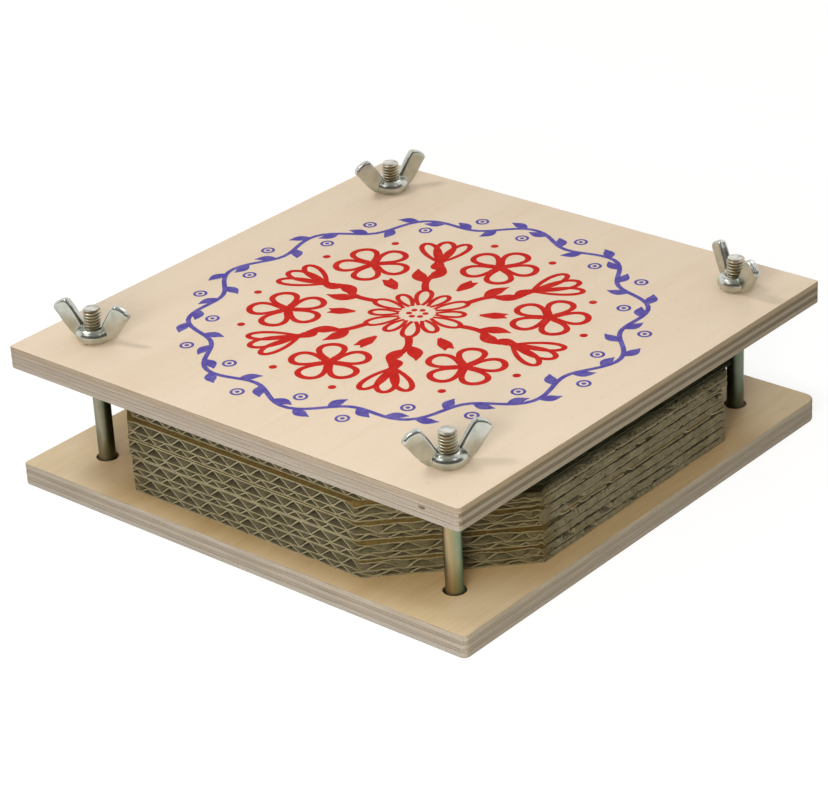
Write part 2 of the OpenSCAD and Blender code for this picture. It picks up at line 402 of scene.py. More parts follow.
def drawn_line(points):
    """One line of edges through those points, drawn by extruding a single vertex."""
    bpy.ops.mesh.primitive_plane_add(size=MM)
    line = bpy.context.object
    bpy.ops.object.mode_set(mode="EDIT")
    bpy.ops.mesh.select_mode(type="VERT")
    bpy.ops.mesh.select_all(action="SELECT")
    bpy.ops.mesh.merge(type="CENTER")
    bpy.ops.transform.translate(value=points[0])
    for a, b in zip(points, points[1:]):
        bpy.ops.mesh.extrude_vertices_move(
            TRANSFORM_OT_translate={"value": Vector(b) - Vector(a)})
    bpy.ops.object.mode_set(mode="OBJECT")
    return line


def closed_up(piece):
    """Merges the piece's doubles and turns its faces outwards."""
    take(piece)
    bpy.ops.object.mode_set(mode="EDIT")
    bpy.ops.mesh.select_all(action="SELECT")
    bpy.ops.mesh.remove_doubles(threshold=0.002 * MM)
    bpy.ops.mesh.normals_make_consistent(inside=False)
    bpy.ops.object.mode_set(mode="OBJECT")
    return piece


def turned(outline):
    """A round piece from an outline of (radius, height) points, as if on a lathe."""
    piece = drawn_line([(radius, 0, height) for radius, height in outline])
    finish_with(piece, "SCREW", axis="Z", angle=2 * math.pi, steps=48, render_steps=48,
                use_merge_vertices=True, merge_threshold=0.001 * MM)
    return closed_up(piece)


def joined(name, *pieces):
    """The pieces as one object."""
    bpy.ops.object.select_all(action="DESELECT")
    for piece in pieces:
        piece.select_set(True)
    bpy.context.view_layer.objects.active = pieces[0]
    bpy.ops.object.join()
    return settle(pieces[0], name)


def another(piece):
    """A copy of the piece with a mesh of its own."""
    copied = piece.copy()
    copied.data = piece.data.copy()
    bpy.context.collection.objects.link(copied)
    return copied


def thread_up_to(tip):
    """A closed length of thread up to that tip, whose lowest turn runs out into the shank."""
    profile = ((ROOT, 0), (ROOT, 0.12), (CREST, 0.44), (CREST, 0.56), (ROOT, 0.88), (ROOT, 1))
    thread = drawn_line([(radius, 0, share * THREAD_PITCH) for radius, share in profile])
    turns = math.ceil((tip - THREAD_LOW) / THREAD_PITCH) + 3
    finish_with(thread, "SCREW", axis="Z", angle=2 * math.pi, steps=24, render_steps=24,
                screw_offset=THREAD_PITCH, iterations=turns, use_merge_vertices=False)
    closed_up(thread)
    thread.location.z = THREAD_LOW - 2 * THREAD_PITCH
    settle(thread, "thread")
    for vertex in thread.data.vertices:
        across = vertex.co.xy.length
        run_out = max(0, 1 - (vertex.co.z - THREAD_LOW) / (1.5 * THREAD_PITCH))
        wanted = max(across, ROOT + (CREST - 0.05 * MM - ROOT) * min(1, run_out))
        wanted = min(wanted, ROOT + 0.06 * MM + max(0, tip - vertex.co.z))
        vertex.co.xy *= wanted / across
    bpy.ops.object.mode_set(mode="EDIT")
    for height, up in ((THREAD_LOW - 0.18 * MM, -1), (tip, 1)):
        bpy.ops.mesh.select_all(action="SELECT")
        bpy.ops.mesh.bisect(plane_co=(0, 0, height), plane_no=(0, 0, up), clear_outer=True,
                            threshold=0.0001 * MM)
        pick(thread, "edges", lambda middle, edge: edge.is_boundary
             and abs(middle.z - height) < 0.01 * MM)
        bpy.ops.mesh.edge_face_add()
    bpy.ops.object.mode_set(mode="OBJECT")
    closed_up(thread)
    bpy.ops.object.shade_smooth_by_angle(angle=math.radians(28))
    return thread


DOME_R = (HEAD_R ** 2 + HEAD_H ** 2) / (2 * HEAD_H)
dome = turned([(DOME_R * math.sin(a), SEAT - HEAD_H + DOME_R * (1 - math.cos(a)))
               for a in (math.radians(d) for d in (0, 6, 12, 18, 24, 30, 36, 43))]
              + [(HEAD_R, SEAT - 0.12 * MM), (HEAD_R - 0.08 * MM, SEAT), (0, SEAT)])
bpy.ops.object.shade_smooth_by_angle(angle=math.radians(35))
shank = turned([(0, SEAT), (2.9 * MM, SEAT), (3.1 * MM, NECK_TOP), (2.98 * MM, 6.93 * MM),
                (2.86 * MM, 7.2 * MM), (2.8 * MM, 7.55 * MM), (2.76 * MM, 8.1 * MM),
                (SHANK_R, 8.8 * MM), (SHANK_R, THREAD_LOW - 0.2 * MM),
                (SHANK_R - 0.04 * MM, THREAD_LOW), (0, THREAD_LOW)])
bpy.ops.object.shade_smooth_by_angle(angle=math.radians(35))
bpy.ops.mesh.primitive_cube_add(size=1, location=(0, 0, (NECK_TOP + SEAT) / 2 - 0.1 * MM))
neck = bpy.context.object
neck.scale = (NECK_W, NECK_W, NECK_TOP - SEAT + 0.2 * MM)
settle(neck, "neck")
bpy.ops.object.mode_set(mode="EDIT")
pick(neck, "edges", lambda middle, edge: abs(edge.verts[0].co.z - edge.verts[1].co.z) > MM)
bpy.ops.mesh.bevel(offset=2.15 * MM, segments=8)
pick(neck, "faces", lambda middle, face: middle.z > NECK_TOP - 0.1 * MM)
bpy.ops.mesh.bevel(offset=0.3 * MM, segments=3)
bpy.ops.object.mode_set(mode="OBJECT")
foot = joined("foot", dome, neck, shank)


def zinc_bolt_finish(name, place, tip, tints_and_shade):
    """Dull zinc plate: four tints round the shank, passivation and painted shade, and a brighter tip.
    """
    made, tree, shader = new_material(name, {"Metallic": 1})
    here = add(tree, "TexCoord").outputs["Object"]
    local = add(tree, "Mapping", {"Vector": here, "Location": (-place[0], -place[1], 0)})
    point = add(tree, "SeparateXYZ", {"Vector": local.outputs[0]})
    around = add(tree, "Math", {0: point.outputs["Y"], 1: point.outputs["X"]},
                 operation="ARCTAN2").outputs[0]
    # the film's thickness drifts over 5 to 15 mm, which moves the bands of tint
    drift = add(tree, "TexNoise", {"Vector": local.outputs[0], "Scale": 90, "Detail": 3})
    wave = add(tree, "MapRange", {"Value": drift.outputs["Fac"], "To Min": -0.7, "To Max": 0.7})
    film = add(tree, "Math", {0: around, 1: wave.outputs[0]}, operation="ADD").outputs[0]
    film = add(tree, "MapRange", {"Value": film, "From Min": -math.pi, "From Max": math.pi})
    tint_and_shade = add(tree, "ValToRGB", {"Fac": film.outputs[0]},
               [(0.0, tints_and_shade[1]), (1.0, tints_and_shade[1]), (0.11, tints_and_shade[0]), (0.3, tints_and_shade[1]),
                (0.46, tints_and_shade[2]), (0.6, tints_and_shade[3]), (0.75, tints_and_shade[2])])
    # the foot is brown with dust from the drilled wood, between the head and the hole's rim
    above = add(tree, "MapRange", {"Value": point.outputs["Z"], "From Min": 6.85 * MM,
                                   "From Max": 7.1 * MM})
    head = add(tree, "Math", {0: point.outputs["Z"], 1: SEAT + 0.1 * MM}, operation="LESS_THAN")
    clean = add(tree, "Math", {0: above.outputs[0], 1: head.outputs[0]}, operation="MAXIMUM")
    tint_and_shade = add(tree, "Mix", {0: clean.outputs[0], 6: linear("86683C"), 7: tint_and_shade.outputs[0]},
               data_type="RGBA")
    # above the top board the film is thin, so the bare zinc shows with brown stains of 2.5 mm
    stain = add(tree, "TexNoise", {"Vector": local.outputs[0], "Scale": 400, "Detail": 3})
    bare = add(tree, "ValToRGB", {"Fac": stain.outputs["Fac"]}, [(0.42, "B5AA90"), (0.6, "D0CCBC")])
    height = add(tree, "MapRange", {"Value": point.outputs["Z"], "From Min": 44 * MM,
                                    "From Max": 52 * MM})
    tint_and_shade = add(tree, "Mix", {0: height.outputs[0], 6: tint_and_shade.outputs[2], 7: bare.outputs[0]},
               data_type="RGBA")
    # the root of the thread is darker: painted shade, with dark oil and dust
    flat = add(tree, "Mapping", {"Vector": local.outputs[0], "Scale": (1, 1, 0)})
    radius = add(tree, "VectorMath", {0: flat.outputs[0]}, operation="LENGTH").outputs["Value"]
    grime_and_shade = add(tree, "MapRange", {"Value": radius, "From Min": ROOT, "From Max": 2.82 * MM})
    grime_and_shade = add(tree, "ValToRGB", {"Fac": grime_and_shade.outputs[0]}, [(0.0, "C4BEAE"), (1.0, "FFFFFF")])
    tint_and_shade = add(tree, "Mix", {0: 1.0, 6: tint_and_shade.outputs[2], 7: grime_and_shade.outputs[0]}, **MULTIPLY)
    # the cut end is brighter, with stains too
    last = add(tree, "MapRange", {"Value": point.outputs["Z"], "From Min": tip - 0.5 * MM,
                                  "From Max": tip - 0.1 * MM})
    cut = add(tree, "ValToRGB", {"Fac": stain.outputs["Fac"]}, [(0.38, "B4B0A4"), (0.56, "DEDCD4")])
    tint_and_shade = add(tree, "Mix", {0: last.outputs[0], 6: tint_and_shade.outputs[2], 7: cut.outputs[0]},
               data_type="RGBA")
    tree.links.new(tint_and_shade.outputs[2], shader.inputs["Base Color"])
    # the plating is duller in spots 1 mm across
    dull = add(tree, "TexNoise", {"Vector": local.outputs[0], "Scale": 900, "Detail": 3})
    rough = add(tree, "MapRange", {"Value": dull.outputs["Fac"], "To Min": 0.32, "To Max": 0.5})
    tree.links.new(rough.outputs[0], shader.inputs["Roughness"])
    return made


# besides the passivation, the tints hold painted shade and reflections: the back right bolt's are all
# darker
BOLT_TINTS_AND_SHADE = {"front_left": ("6A6E62", "A6A28C", "626A50", "5E4E40"),
              "front_right": ("626858", "C2AC84", "94A284", "508478"),
              "back_right": ("3E443A", "5E665A", "74806E", "6E7C6E"),
              "back_left": ("6A6E62", "A6A28C", "626A50", "5E4E40")}
for corner, place in BOLT_PLACES.items():
    made = joined("bolt_" + corner, thread_up_to(BOLT_TIPS[corner]), another(foot))
    made.location = (*place, 0)
    settle(made, made.name)
    made.data.materials.append(zinc_bolt_finish("yellow_zinc_" + corner, place, BOLT_TIPS[corner],
                                                BOLT_TINTS_AND_SHADE[corner]))
    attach(made, "base")
    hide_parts("carriage_bolt_" + corner)
bpy.data.objects.remove(foot)

# Wing nuts: M6, cold-formed steel with rounded wings, bright zinc plated. Each has a round hub,
# wider at its waist than at its foot, and two flat wings that grow out of it with soft fillets.
# They stand at the turns at which the photograph shows them.
NUT_TURNS = {"front_left": 16, "front_right": 57.5, "back_right": -25.5, "back_left": 68.5}
BORE_R, BORE_MOUTH_R, WING_T = 2.95 * MM, 3.3 * MM, 2.7 * MM
# outlines of the hub and a wing: each point's distance from the bolt's axis and its height, in mm
HUB = [(0, 0.05), (4.4, 0.05), (4.85, 0.3), (5.4, 0.9), (5.72, 1.6), (5.8, 2.3), (5.7, 3.0),
       (5.35, 3.7), (4.85, 4.25), (4.25, 4.6), (3.6, 4.8), (0, 4.85)]
WING = [(3.0, 1.2), (4.6, 0.45), (6.5, 0.9), (8.2, 2.4), (9.9, 4.5), (11.7, 7.1), (13.4, 9.2),
        (13.1, 10.5), (12.0, 11.6), (10.5, 12.4), (9.0, 12.85), (8.0, 12.7), (6.7, 11.0),
        (5.4, 8.9), (4.1, 6.6), (3.1, 5.0), (2.4, 3.4)]

nut = turned([(out * MM, height * MM) for out, height in HUB])
for heading in (0, math.pi):
    bpy.ops.mesh.primitive_circle_add(vertices=len(WING), radius=MM, fill_type="NGON")
    wing = bpy.context.object
    for vertex, (out, height) in zip(wing.data.vertices, WING):
        vertex.co = (out * MM, -WING_T / 2, height * MM)
    bpy.ops.object.mode_set(mode="EDIT")
    bpy.ops.mesh.select_all(action="SELECT")
    bpy.ops.mesh.extrude_region_move(TRANSFORM_OT_translate={"value": (0, WING_T, 0)})
    bpy.ops.mesh.select_all(action="SELECT")
    bpy.ops.mesh.normals_make_consistent(inside=False)
    pick(wing, "edges", lambda middle, edge: abs(edge.verts[0].co.y - edge.verts[1].co.y) < MM)
    bpy.ops.mesh.bevel(offset=0.85 * MM, segments=4)
    bpy.ops.object.mode_set(mode="OBJECT")
    # a wing thins from its root to its tip by a fifth
    for vertex in wing.data.vertices:
        vertex.co.y *= min(1.15, 1.12 - 0.022 * (vertex.co.x / MM - 4))
    wing.rotation_euler.z = heading
    settle(wing, "wing")
    finish_with(nut, "BOOLEAN", object=wing, operation="UNION", solver="EXACT")
    bpy.data.objects.remove(wing)
finish_with(nut, "REMESH", mode="VOXEL", voxel_size=0.17 * MM)
finish_with(nut, "SMOOTH", factor=0.5, iterations=7)
cut_away(nut, rod(12 * MM, -2 * MM, 0, (0, 0)))
cut_away(nut, turned([(0, -MM), (BORE_MOUTH_R, -MM), (BORE_MOUTH_R, 0), (BORE_R, 0.35 * MM),
                      (BORE_R, 4.4 * MM), (BORE_MOUTH_R, 4.75 * MM), (BORE_MOUTH_R, 6 * MM),
                      (0, 6 * MM)]))
take(nut)
bpy.ops.object.shade_smooth_by_angle(angle=math.radians(40))

bright_zinc, tree, shader = new_material("bright_zinc_plate", {"Metallic": 1})
here = add(tree, "TexCoord").outputs["Object"]
# plating pits and tumbling marks are 0.5 to 2 mm across, and cloudy patches some 4 mm
pits = add(tree, "TexNoise", {"Vector": here, "Scale": 700, "Detail": 4})
clouds = add(tree, "TexNoise", {"Vector": here, "Scale": 220, "Detail": 2})
tone = add(tree, "ValToRGB", {"Fac": clouds.outputs["Fac"]},
           [(0.35, "B4B7AE"), (0.7, "CED0C8"), (0.5, "C2C5BC")])
rough = add(tree, "MapRange", {"Value": clouds.outputs["Fac"], "To Min": 0.18, "To Max": 0.32})
tree.links.new(rough.outputs[0], shader.inputs["Roughness"])
dress(tree, shader, tone.outputs[0], pits.outputs["Fac"], 0.3, 0.06 * MM)

for corner, place in BOLT_PLACES.items():
    made = another(nut)
    made.location = (*place, TOP_HIGH)
    made.rotation_euler.z = math.radians(NUT_TURNS[corner])
    settle(made, "nut_" + corner)
    made.data.materials.append(bright_zinc)
    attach(made, "wing_nut_" + corner)
    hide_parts("wing_nut_" + corner)
bpy.data.objects.remove(nut)

# Print on the top board: screen-printed ink, blue for the ring and red for the flowers in it. It
# lies on the veneer as a film, flatter than the eye can tell. The strokes are flat strips of varied
# width. One sixth of the ring is drawn and set round six times, and the flowers likewise.
INK_LOW, INK_STEP = TOP_HIGH + 0.004 * MM, 0.0006 * MM
VINE_R, VINE_SWING, VINE_WAVES = 68.5, 3.4, 12


def brush(points, widths):
    """A flat stroke of ink along those points, as wide at each as the widths say, all in mm."""
    last = len(points) - 1
    bpy.ops.mesh.primitive_grid_add(x_subdivisions=last, y_subdivisions=1, size=2)
    stroke = bpy.context.object
    closed = math.dist(points[0], points[last]) < 0.01
    for vertex in stroke.data.vertices:
        i = round((vertex.co.x + 1) / 2 * last)
        before = points[last - 1 if closed and i == 0 else max(i - 1, 0)]
        after = points[1 if closed and i == last else min(i + 1, last)]
        along = (Vector(after) - Vector(before)).normalized()
        reach = math.copysign(widths[i] / 2, vertex.co.y)
        vertex.co = ((points[i][0] - along.y * reach) * MM, (points[i][1] + along.x * reach) * MM,
                     i * INK_STEP / 100)
    return stroke


def polar(radius, degrees, centre=(0, 0)):
    """The point at that radius and heading from the centre."""
    heading = math.radians(degrees)
    return centre[0] + radius * math.cos(heading), centre[1] + radius * math.sin(heading)


def dot(centre, radius):
    """A round spot of ink."""
    bpy.ops.mesh.primitive_circle_add(vertices=20, radius=radius * MM, fill_type="NGON",
                                      location=(centre[0] * MM, centre[1] * MM, 0))
    return bpy.context.object


def leaf(start, heading, length, width, bend):
    """A filled leaf that swells from a fine stalk and ends in a point."""
    shares = [i / 12 for i in range(13)]
    places = [polar(length * t, heading + bend * t, start) for t in shares]
    return brush(places, [0.5 + width * math.sin(math.pi * min(1, t * 1.02)) ** 1.3 for t in shares])


def petal(start, heading, length, width, line):
    """The outline of a petal, narrow where it starts."""
    around = [0.55 + (2 * math.pi - 1.1) * i / 28 for i in range(29)]
    side = [width / 2 * math.sin(t) * abs(math.sin(t / 2)) ** 0.9 for t in around]
    out = [length * (1 - math.cos(t)) / 2 for t in around]
    turn = math.radians(heading)
    places = [(start[0] + o * math.cos(turn) - w * math.sin(turn),
               start[1] + o * math.sin(turn) + w * math.cos(turn)) for o, w in zip(out, side)]
    return brush(places, [line * (0.8 + 0.3 * abs(math.sin(t / 2))) for t in around])


def six_of(name, strokes, ink):
    """The strokes set round the board's centre six times, as one film of ink."""
    for n, stroke in enumerate(strokes):
        stroke.location.z = INK_LOW + n * INK_STEP
    sector = joined(name, *strokes)
    sectors = [sector]
    for n in range(1, 6):
        other = another(sector)
        other.rotation_euler.z = math.radians(60 * n)
        sectors.append(other)
    film = joined(name, *sectors)
    finish_with(film, "SOLIDIFY", thickness=0.012 * MM, offset=-1)
    film.data.materials.append(ink)
    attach(film, "top_board")
    return film


def ink_finish(name, full, thin):
    """Screen ink: matte, a little thinner where the veneer's fibres stand up through it."""
    made, tree, shader = new_material(name, {"Roughness": 0.7, "Specular IOR Level": 0.12})
    here = add(tree, "TexCoord").outputs["Object"]
    # the squeegee leaves clouds of 4 mm, and the fibres are drawn 0.4 mm wide and 5 mm long
    clouds = add(tree, "TexNoise", {"Vector": here, "Scale": 250, "Detail": 3})
    fibres = add(tree, "Mapping", {"Vector": here, "Scale": (2200, 200, 2200)})
    fibres = add(tree, "TexNoise", {"Vector": fibres.outputs[0], "Scale": 1, "Detail": 2})
    blend = add(tree, "Mix", {0: 0.5, 2: clouds.outputs["Fac"], 3: fibres.outputs["Fac"]})
    tone = add(tree, "ValToRGB", {"Fac": blend.outputs[0]}, [(0.34, thin), (0.56, full)])
    tree.links.new(tone.outputs[0], shader.inputs["Base Color"])
    return made


def vine_at(degrees):
    """Radius of the blue vine at that heading, and the way that it grows there."""
    wave = math.radians(VINE_WAVES * degrees)
    outwards = math.atan2(VINE_SWING * VINE_WAVES * math.cos(wave), VINE_R)
    return VINE_R + VINE_SWING * math.sin(wave), degrees + 90 - math.degrees(outwards)


blue = [brush([polar(vine_at(a)[0], a) for a in range(0, 61, 2)], [1.6] * 31)]
for n in range(8):
    place, side = 1.9 + 7.5 * n, 1 - 2 * (n % 2)
    radius, way = vine_at(place)
    blue.append(leaf(polar(radius, place), way + 46 * side, 7.4, 3.3, -14 * side))
for n in range(4):
    bay = polar(VINE_R - 4.2 * (1 - 2 * (n % 2)), 7.5 + 15 * n)
    blue.append(brush([polar(1.9, 20 * i, bay) for i in range(19)], [0.9] * 19))
    blue.append(dot(bay, 0.75))
six_of("blue_print", blue, ink_finish("blue_screen_ink", "564A9E", "746AAC"))

red = [dot(polar(2.6, 30), 1.0)]
for n in range(2):
    red.append(petal(polar(5, 30 * n), 30 * n, 12 - 2 * n, 6 - n, 1.5))
stem = [polar(16 + 2.3 * i, 3.2 * math.sin(0.6 * i)) for i in range(11)]
red.append(brush(stem, [2.6 - 0.08 * i for i in range(11)]))
red.append(leaf(stem[3], 42, 11, 4.4, -20))
red.append(leaf(stem[4], -40, 11, 4.4, 20))
red.append(leaf(stem[7], 36, 7, 3, -16))
for aim, wide in ((-26, 6.4), (0, 7.4), (26, 6.4)):
    red.append(petal(polar(38.5, -1), aim, 16, wide, 1.7))
blossom = polar(41.5, 30)
for n in range(5):
    red.append(petal(polar(1.6, 30 + 72 * n, blossom), 30 + 72 * n, 10.6, 10, 1.9))
red += [dot(blossom, 2.7), dot(polar(39.2, -1), 1.7)]
for aim in (-24, 24):
    red.append(leaf(polar(28.5, 30 + aim / 8), 30 + 180 + aim, 9, 3.8, -aim / 2))
for aim in (-12.5, 12.5):
    red.append(dot(polar(55, 30 + aim), 1.3))
six_of("red_print", red, ink_finish("red_screen_ink", "C41C14", "CE3022"))

# Corrugated cards: double-wall board of recycled kraft paper, three flat liners glued over a fine
# and a coarse flute. They were cut with a blunt knife: crisp across the flutes at the front and
# back, dragged shut along them at the sides, and crushed from above where the corners came off.
CARD_HALF, CARD_T, PAPER = 83.5 * MM, 6.15 * MM, 0.47 * MM
FINE_H, COARSE_H, LINER_STEP = 2.2 * MM, 3.2 * MM, 0.25 * MM
FINE_PITCH, COARSE_PITCH = 6.62 * MM, 8.17 * MM
SLIPS = [(-0.72, 1.44), (-0.36, 1.08), (-1.08, 1.08), (-1.26, 1.44), (-1.44, 3.6)]
FINE_STARTS = [0.81, 0.17, 0.29, 0.31, 0.64]
COARSE_STARTS = [0.17, 0.76, 0.64, 0.0, 0.5]
FLUTE_DRIFTS = [0.016, -0.012, 0.009, -0.02, 0.014]
# at each corner: half the length of the flat sides up to the cut, and how far the knife crushed it
CORNER_CUTS = {(-1, -1): (46.9 * MM, 0.25), (1, -1): (45.5 * MM, 1.0), (1, 1): (46.3 * MM, 0.5),
               (-1, 1): (45.5 * MM, 0.8)}
# the two upper cards, which start above this height, reach further at the back right
UPPER_CARDS_LOW, UPPER_CARDS_BACK_RIGHT = 24 * MM, 48.7 * MM
# how far in from the cut edges the paper's rows and columns lie, before they're spread evenly
NEAR_ENDS = [d * MM for d in (0, 0.25, 0.6, 1.1, 1.8, 2.8, 4.2, 6.5)]
NEAR_SIDES = [d * MM for d in (0, 0.2, 0.4, 0.65, 0.9, 1.2, 1.6, 2.1, 2.8, 3.8, 5.2, 7)]


def drift(x, y, size, seed):
    """Smooth noise between about -1 and 1 whose bumps are that size, in metres."""
    return noise.noise(Vector((x / size, y / size, 7.3 * seed)))


def ease(t):
    """0 before 0, 1 after 1 and smooth between."""
    t = min(max(t, 0), 1)
    return t * t * (3 - 2 * t)


def flute(x, pitch, start):
    """Height of a flute from 0 to 1: straight flanks with rounded tips."""
    up = 1 - 2 * abs((x / pitch - start + 0.5) % 1 - 0.5)
    return 0.62 * up + 0.38 * ease(up)


def dragged_wall(inward, y, depth, torn, seed):
    """Height from 0 to 1 of a flute's last wall, that far in from the side, along its torn cut."""
    # in mm: pits are torn up to 2.6 mm in, and an open slot is left under the next liner
    pit, pit_above = (2.6 * ease((drift(0, y + lead, 5 * MM, seed) + torn - 0.5) * 5)
                      for lead in (0, 1.8 * MM))
    foot = depth + pit + 0.35 * abs(drift(0, y, 5 * MM, seed + 1))
    head = max(foot, depth + pit_above) + 0.3 + 0.3 * abs(drift(0, y, 3 * MM, seed + 3))
    slot = 0.4 + 0.12 * ease(0.5 + 2.5 * drift(0, y, 14 * MM, seed + 4))
    slot += 0.1 * drift(0, y, 2.2 * MM, seed + 2)
    inward /= MM
    if inward < head:
        return (1 - slot) * min(max((inward - foot) / (head - foot), 0), 1)
    # the wall's paper falls away behind, into a dark hollow
    return (1 - slot) * (1 - 0.75 * ease((inward - head - 0.2) / 0.7))


def paper_strip(xs, middle_rows, height_at, seed, role, fray, low):
    """A strip of a card's paper over those x, cut to the card's outline, frayed and crushed."""
    rows = 2 * len(NEAR_ENDS) + middle_rows - 1
    bpy.ops.mesh.primitive_grid_add(x_subdivisions=len(xs) - 1, y_subdivisions=rows, size=2)
    strip = bpy.context.object
    for vertex in strip.data.vertices:
        x = xs[round((vertex.co.x + 1) / 2 * (len(xs) - 1))]
        row = round((vertex.co.y + 1) / 2 * rows)
        side = math.copysign(1, x)
        flats = [CORNER_CUTS[side, end][0] for end in (-1, 1)]
        if side == 1 and low > UPPER_CARDS_LOW:
            flats[1] = UPPER_CARDS_BACK_RIGHT
        near, far = (min(CARD_HALF, CARD_HALF + flat - abs(x)) for flat in flats)
        if row < len(NEAR_ENDS):
            y = -near + NEAR_ENDS[row]
        elif rows - row < len(NEAR_ENDS):
            y = far - NEAR_ENDS[rows - row]
        else:
            share = (row - len(NEAR_ENDS) + 1) / (rows - 2 * len(NEAR_ENDS) + 2)
            y = -near + NEAR_ENDS[-1] + (near + far - 2 * NEAR_ENDS[-1]) * share
        flat, crushed = flats[y > 0], CORNER_CUTS[side, math.copysign(1, y)][1]
        z = height_at(x, y)
        end, flank = min(y + near, far - y), CARD_HALF - abs(x)
        cut = (CARD_HALF + flat - abs(x) - abs(y)) / math.sqrt(2)
        # the knife crushed each cut corner over its last few millimetres
        hold = 0.15 + 0.1 * drift(x, y, 6 * MM, seed // 10) + 0.05 * drift(x, y, 2 * MM, seed)
        z = low + (z - low) * (1 - crushed * max(0, hold) * (1 - ease(cut / (2.8 * MM))) ** 1.4)
        wave = 0.3 * drift(x, y, 2.6 * MM, seed + 1) + 0.14 * drift(x, y, MM, seed + 2)
        wave *= MM * ((1 - ease(cut / (3 * MM))) + 0.6 * fray * (1 - ease(flank / (2 * MM))))
        z += {"bottom": abs(wave), "top": -abs(wave)}.get(role, wave)
        # the cut edges wander, least where the flutes were cut square across
        rough = 0.12 + 0.3 * (cut < 0.4 * MM)
        y -= math.copysign((1 - ease(end / MM)) * rough * MM * abs(drift(x, 0, 0.9 * MM, seed + 3)), y)
        if flank < 3 * MM and role != "flute":
            torn = 0.3 * abs(drift(0, y, 1.1 * MM, seed + 4))
            torn += 0.35 * abs(drift(0, y, 6 * MM, seed + 5))
            torn += 0.9 * ease((drift(0, y, 3 * MM, seed + 6) - 0.3) * 6)
            x -= side * (1 - flank / (3 * MM)) * fray * torn * MM
        vertex.co = (x, y, min(max(z, low + PAPER / 2), low + CARD_T - PAPER / 2))
    for finish in (face_paper, inner_paper, frayed_paper):
        strip.data.materials.append(finish)
    # the top liner is face paper with a frayed edge, and all the others are inner paper throughout
    cut_face = 2 if role == "top" else 1
    for face in strip.data.polygons:
        face.material_index = 2 - cut_face
    finish_with(strip, "SOLIDIFY", thickness=PAPER, offset=0, material_offset_rim=cut_face)
    return strip


def kraft_finish(name, pale, deep, dirt, grime_and_shade=0.35, corner_shade_colour=None):
    """Recycled kraft paper: matte, with long fibres, clouds of pulp, darker specks and optional painted
    shade.
    """
    made, tree, shader = new_material(name, {"Roughness": 0.88, "Specular IOR Level": 0.25})
    here = add(tree, "TexCoord").outputs["Object"]
    # fibres are drawn 0.4 mm wide and 3 mm long, the pulp's clouds 6 mm across and specks 0.8 mm
    fibres = add(tree, "Mapping", {"Vector": here, "Scale": (2600, 300, 2600)})
    fibres = add(tree, "TexNoise", {"Vector": fibres.outputs[0], "Scale": 1, "Detail": 3})
    clouds = add(tree, "TexNoise", {"Vector": here, "Scale": 160, "Detail": 4, "Roughness": 0.7})
    blend = add(tree, "Mix", {0: 0.5, 2: fibres.outputs["Fac"], 3: clouds.outputs["Fac"]})
    tone = add(tree, "ValToRGB", {"Fac": blend.outputs[0]}, [(0.36, deep), (0.64, pale)])
    specks = add(tree, "TexNoise", {"Vector": here, "Scale": 1300, "Detail": 1})
    specks = add(tree, "ValToRGB", {"Fac": specks.outputs["Fac"]},
                 [(0.3, dirt), (0.38, "FFFFFF")])
    tone = add(tree, "Mix", {0: grime_and_shade, 6: tone.outputs[0], 7: specks.outputs[0]}, **MULTIPLY)
    if corner_shade_colour:
        # painted shade: the cut faces at the front corners are darker, most of all towards the right
        point = add(tree, "SeparateXYZ", {"Vector": here})
        x = add(tree, "Math", {0: point.outputs["X"]}, operation="ABSOLUTE").outputs[0]
        corner = add(tree, "Math", {0: x, 1: point.outputs["Y"]}, operation="SUBTRACT").outputs[0]
        corner = add(tree, "MapRange", {"Value": corner, "From Min": 119 * MM,
                                        "From Max": 126 * MM})
        across = add(tree, "MapRange", {"Value": point.outputs["X"], "From Min": 40 * MM,
                                        "From Max": 80 * MM, "To Min": 0.4, "To Max": 1.0})
        corner_shade = add(tree, "Math", {0: corner.outputs[0], 1: across.outputs[0]}, operation="MULTIPLY")
        tone = add(tree, "Mix", {0: corner_shade.outputs[0], 6: tone.outputs[2], 7: linear(corner_shade_colour)}, **MULTIPLY)
        # painted shade: the torn rows right under the top board, on the right, are darker
        row = add(tree, "MapRange", {"Value": point.outputs["Z"], "From Min": 28.6 * MM,
                                     "From Max": 30.6 * MM})
        right = add(tree, "MapRange", {"Value": point.outputs["X"], "From Min": 74 * MM,
                                       "From Max": 78 * MM})
        under_board_shade = add(tree, "Math", {0: row.outputs[0], 1: right.outputs[0]}, operation="MULTIPLY")
        tone = add(tree, "Mix", {0: under_board_shade.outputs[0], 6: tone.outputs[2], 7: linear("6E7460")},
                   **MULTIPLY)
    dress(tree, shader, tone.outputs[2], blend.outputs[0], 0.4, 0.06 * MM)
    return made


face_paper = kraft_finish("kraft_face_liner", "7E6A3C", "64542E", "524424", 0.35, "A89C7C")
inner_paper = kraft_finish("recycled_fluting_paper", "7A7158", "625940", "3E3828", 0.6, "DCD4BC")
frayed_paper = kraft_finish("frayed_paper_edge", "857C62", "70684E", "5A523A", 0.5, "D2CAB6")

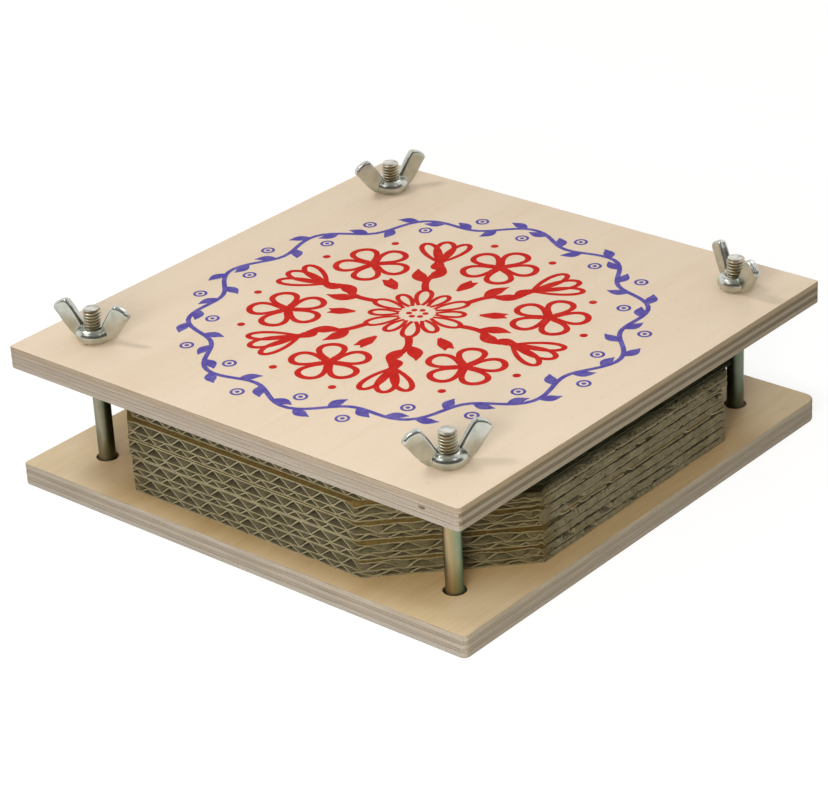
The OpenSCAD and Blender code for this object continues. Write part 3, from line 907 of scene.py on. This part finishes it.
for k in range(5):
    low = BOARD_T + k * CARD_T
    sheets = []
    layers = [("bottom", PAPER / 2, None, 0, 0),
              ("flute", 1.5 * LINER_STEP, FINE_PITCH, FINE_STARTS[k], FINE_H),
              ("middle", 1.5 * LINER_STEP + FINE_H, None, 0, 0),
              ("flute", 2.5 * LINER_STEP + FINE_H, COARSE_PITCH, COARSE_STARTS[k], COARSE_H),
              ("top", CARD_T - PAPER / 2, None, 0, 0)]
    for n, (role, layer_low, pitch, start, rise) in enumerate(layers):
        seed = 100 * k + 20 * n + 3

        def height_at(x, y):
            """Height of the middle of this layer's paper."""
            if role != "flute":
                return low + layer_low
            sway = FLUTE_DRIFTS[k] * (y + CARD_HALF) + 0.035 * pitch * drift(x, 0, 6 * MM, seed + 7)
            share = flute(x + sway, pitch, start)
            inward = CARD_HALF - abs(x)
            if inward < NEAR_SIDES[-1]:
                # two rows right under the top board are torn most
                ragged = (k, n) in ((3, 3), (4, 1)) and x > 0
                depth = 0.8 if ragged else 0.15
                torn = (0.45 if ragged else 0.25 if k == 0 else -0.02) if x > 0 else -1
                wall = dragged_wall(inward, y, depth, torn, seed + 9)
                if ragged:
                    wall += 0.4 * abs(drift(x, y, 1.3 * MM, seed + 6))
                back = depth * MM + (2.4 * MM if x > 0 else 0.7 * MM)
                share = wall + (share - wall) * ease((inward - back) / (1.2 * MM))
            sag = 1 - 0.04 * abs(drift(x, y, 9 * MM, seed + 8))
            return low + layer_low + (rise - LINER_STEP) * share * sag

        seam, count = CARD_HALF - NEAR_SIDES[-1], 260 if role == "flute" else 200
        middle = [seam * (2 * i / count - 1) for i in range(count + 1)]
        right_side = [CARD_HALF - inward for inward in reversed(NEAR_SIDES)]
        left_side = [inward - CARD_HALF for inward in NEAR_SIDES]
        fray = 1.6 if k == 0 else 1.0
        for xs, rows in ((left_side, 100), (middle, 2), (right_side, 140)):
            strip = paper_strip(xs, rows, height_at, seed, role, fray, low)
            sheets.append(strip)
    card = joined(f"card_{k + 1}", *sheets)
    card.location = (SLIPS[k][0] * MM, SLIPS[k][1] * MM, 0)
    settle(card, card.name)
    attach(card, f"corrugated_card_{k + 1}")
    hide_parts(f"corrugated_card_{k + 1}")

# Blotting papers: soft unsized sheets, cut to the cards' outline, lying in one pile on the top
# card. Their edges are a little furry, and no two lie quite in line.
PAPER_Z, PAPER_T, PAPER_HALF = BOARD_T + 5 * CARD_T, 0.5 * MM, 82 * MM
CORNER_CUT, AIR = 38 * MM, 0.02 * MM
blotting = kraft_finish("blotting_paper", "D9D0BC", "C9BFA8", "B5AA92")
for k in range(6):
    low = PAPER_Z + k * PAPER_T
    bpy.ops.mesh.primitive_plane_add(size=2 * PAPER_HALF, location=(0, 0, low + AIR))
    paper = settle(bpy.context.object, f"paper_{k + 1}")
    bpy.ops.object.mode_set(mode="EDIT")
    bpy.ops.mesh.select_all(action="SELECT")
    bpy.ops.mesh.bevel(offset=CORNER_CUT, affect="VERTICES")
    bpy.ops.mesh.select_all(action="SELECT")
    bpy.ops.mesh.subdivide(number_cuts=60)
    bpy.ops.mesh.select_all(action="SELECT")
    bpy.ops.mesh.inset(thickness=0.6 * MM)
    bpy.ops.object.mode_set(mode="OBJECT")
    shift = Vector((drift(k, 0, 0.7, 11), drift(0, k, 0.7, 12))) * 0.7 * MM
    for vertex in paper.data.vertices:
        x, y = vertex.co.xy
        inside = min(PAPER_HALF - abs(x), PAPER_HALF - abs(y),
                     (2 * PAPER_HALF - CORNER_CUT - abs(x) - abs(y)) / math.sqrt(2))
        if inside < 0.3 * MM:
            vertex.co.xy *= 1 - 0.0022 * abs(drift(x, y, 1.3 * MM, 31 + k))
        vertex.co.x += shift.x
        vertex.co.y += shift.y
    finish_with(paper, "SOLIDIFY", thickness=PAPER_T - 2 * AIR, offset=1)
    closed_up(paper)
    paper.data.materials.append(blotting)
    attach(paper, f"blotting_paper_{k + 1}")
    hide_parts(f"blotting_paper_{k + 1}")
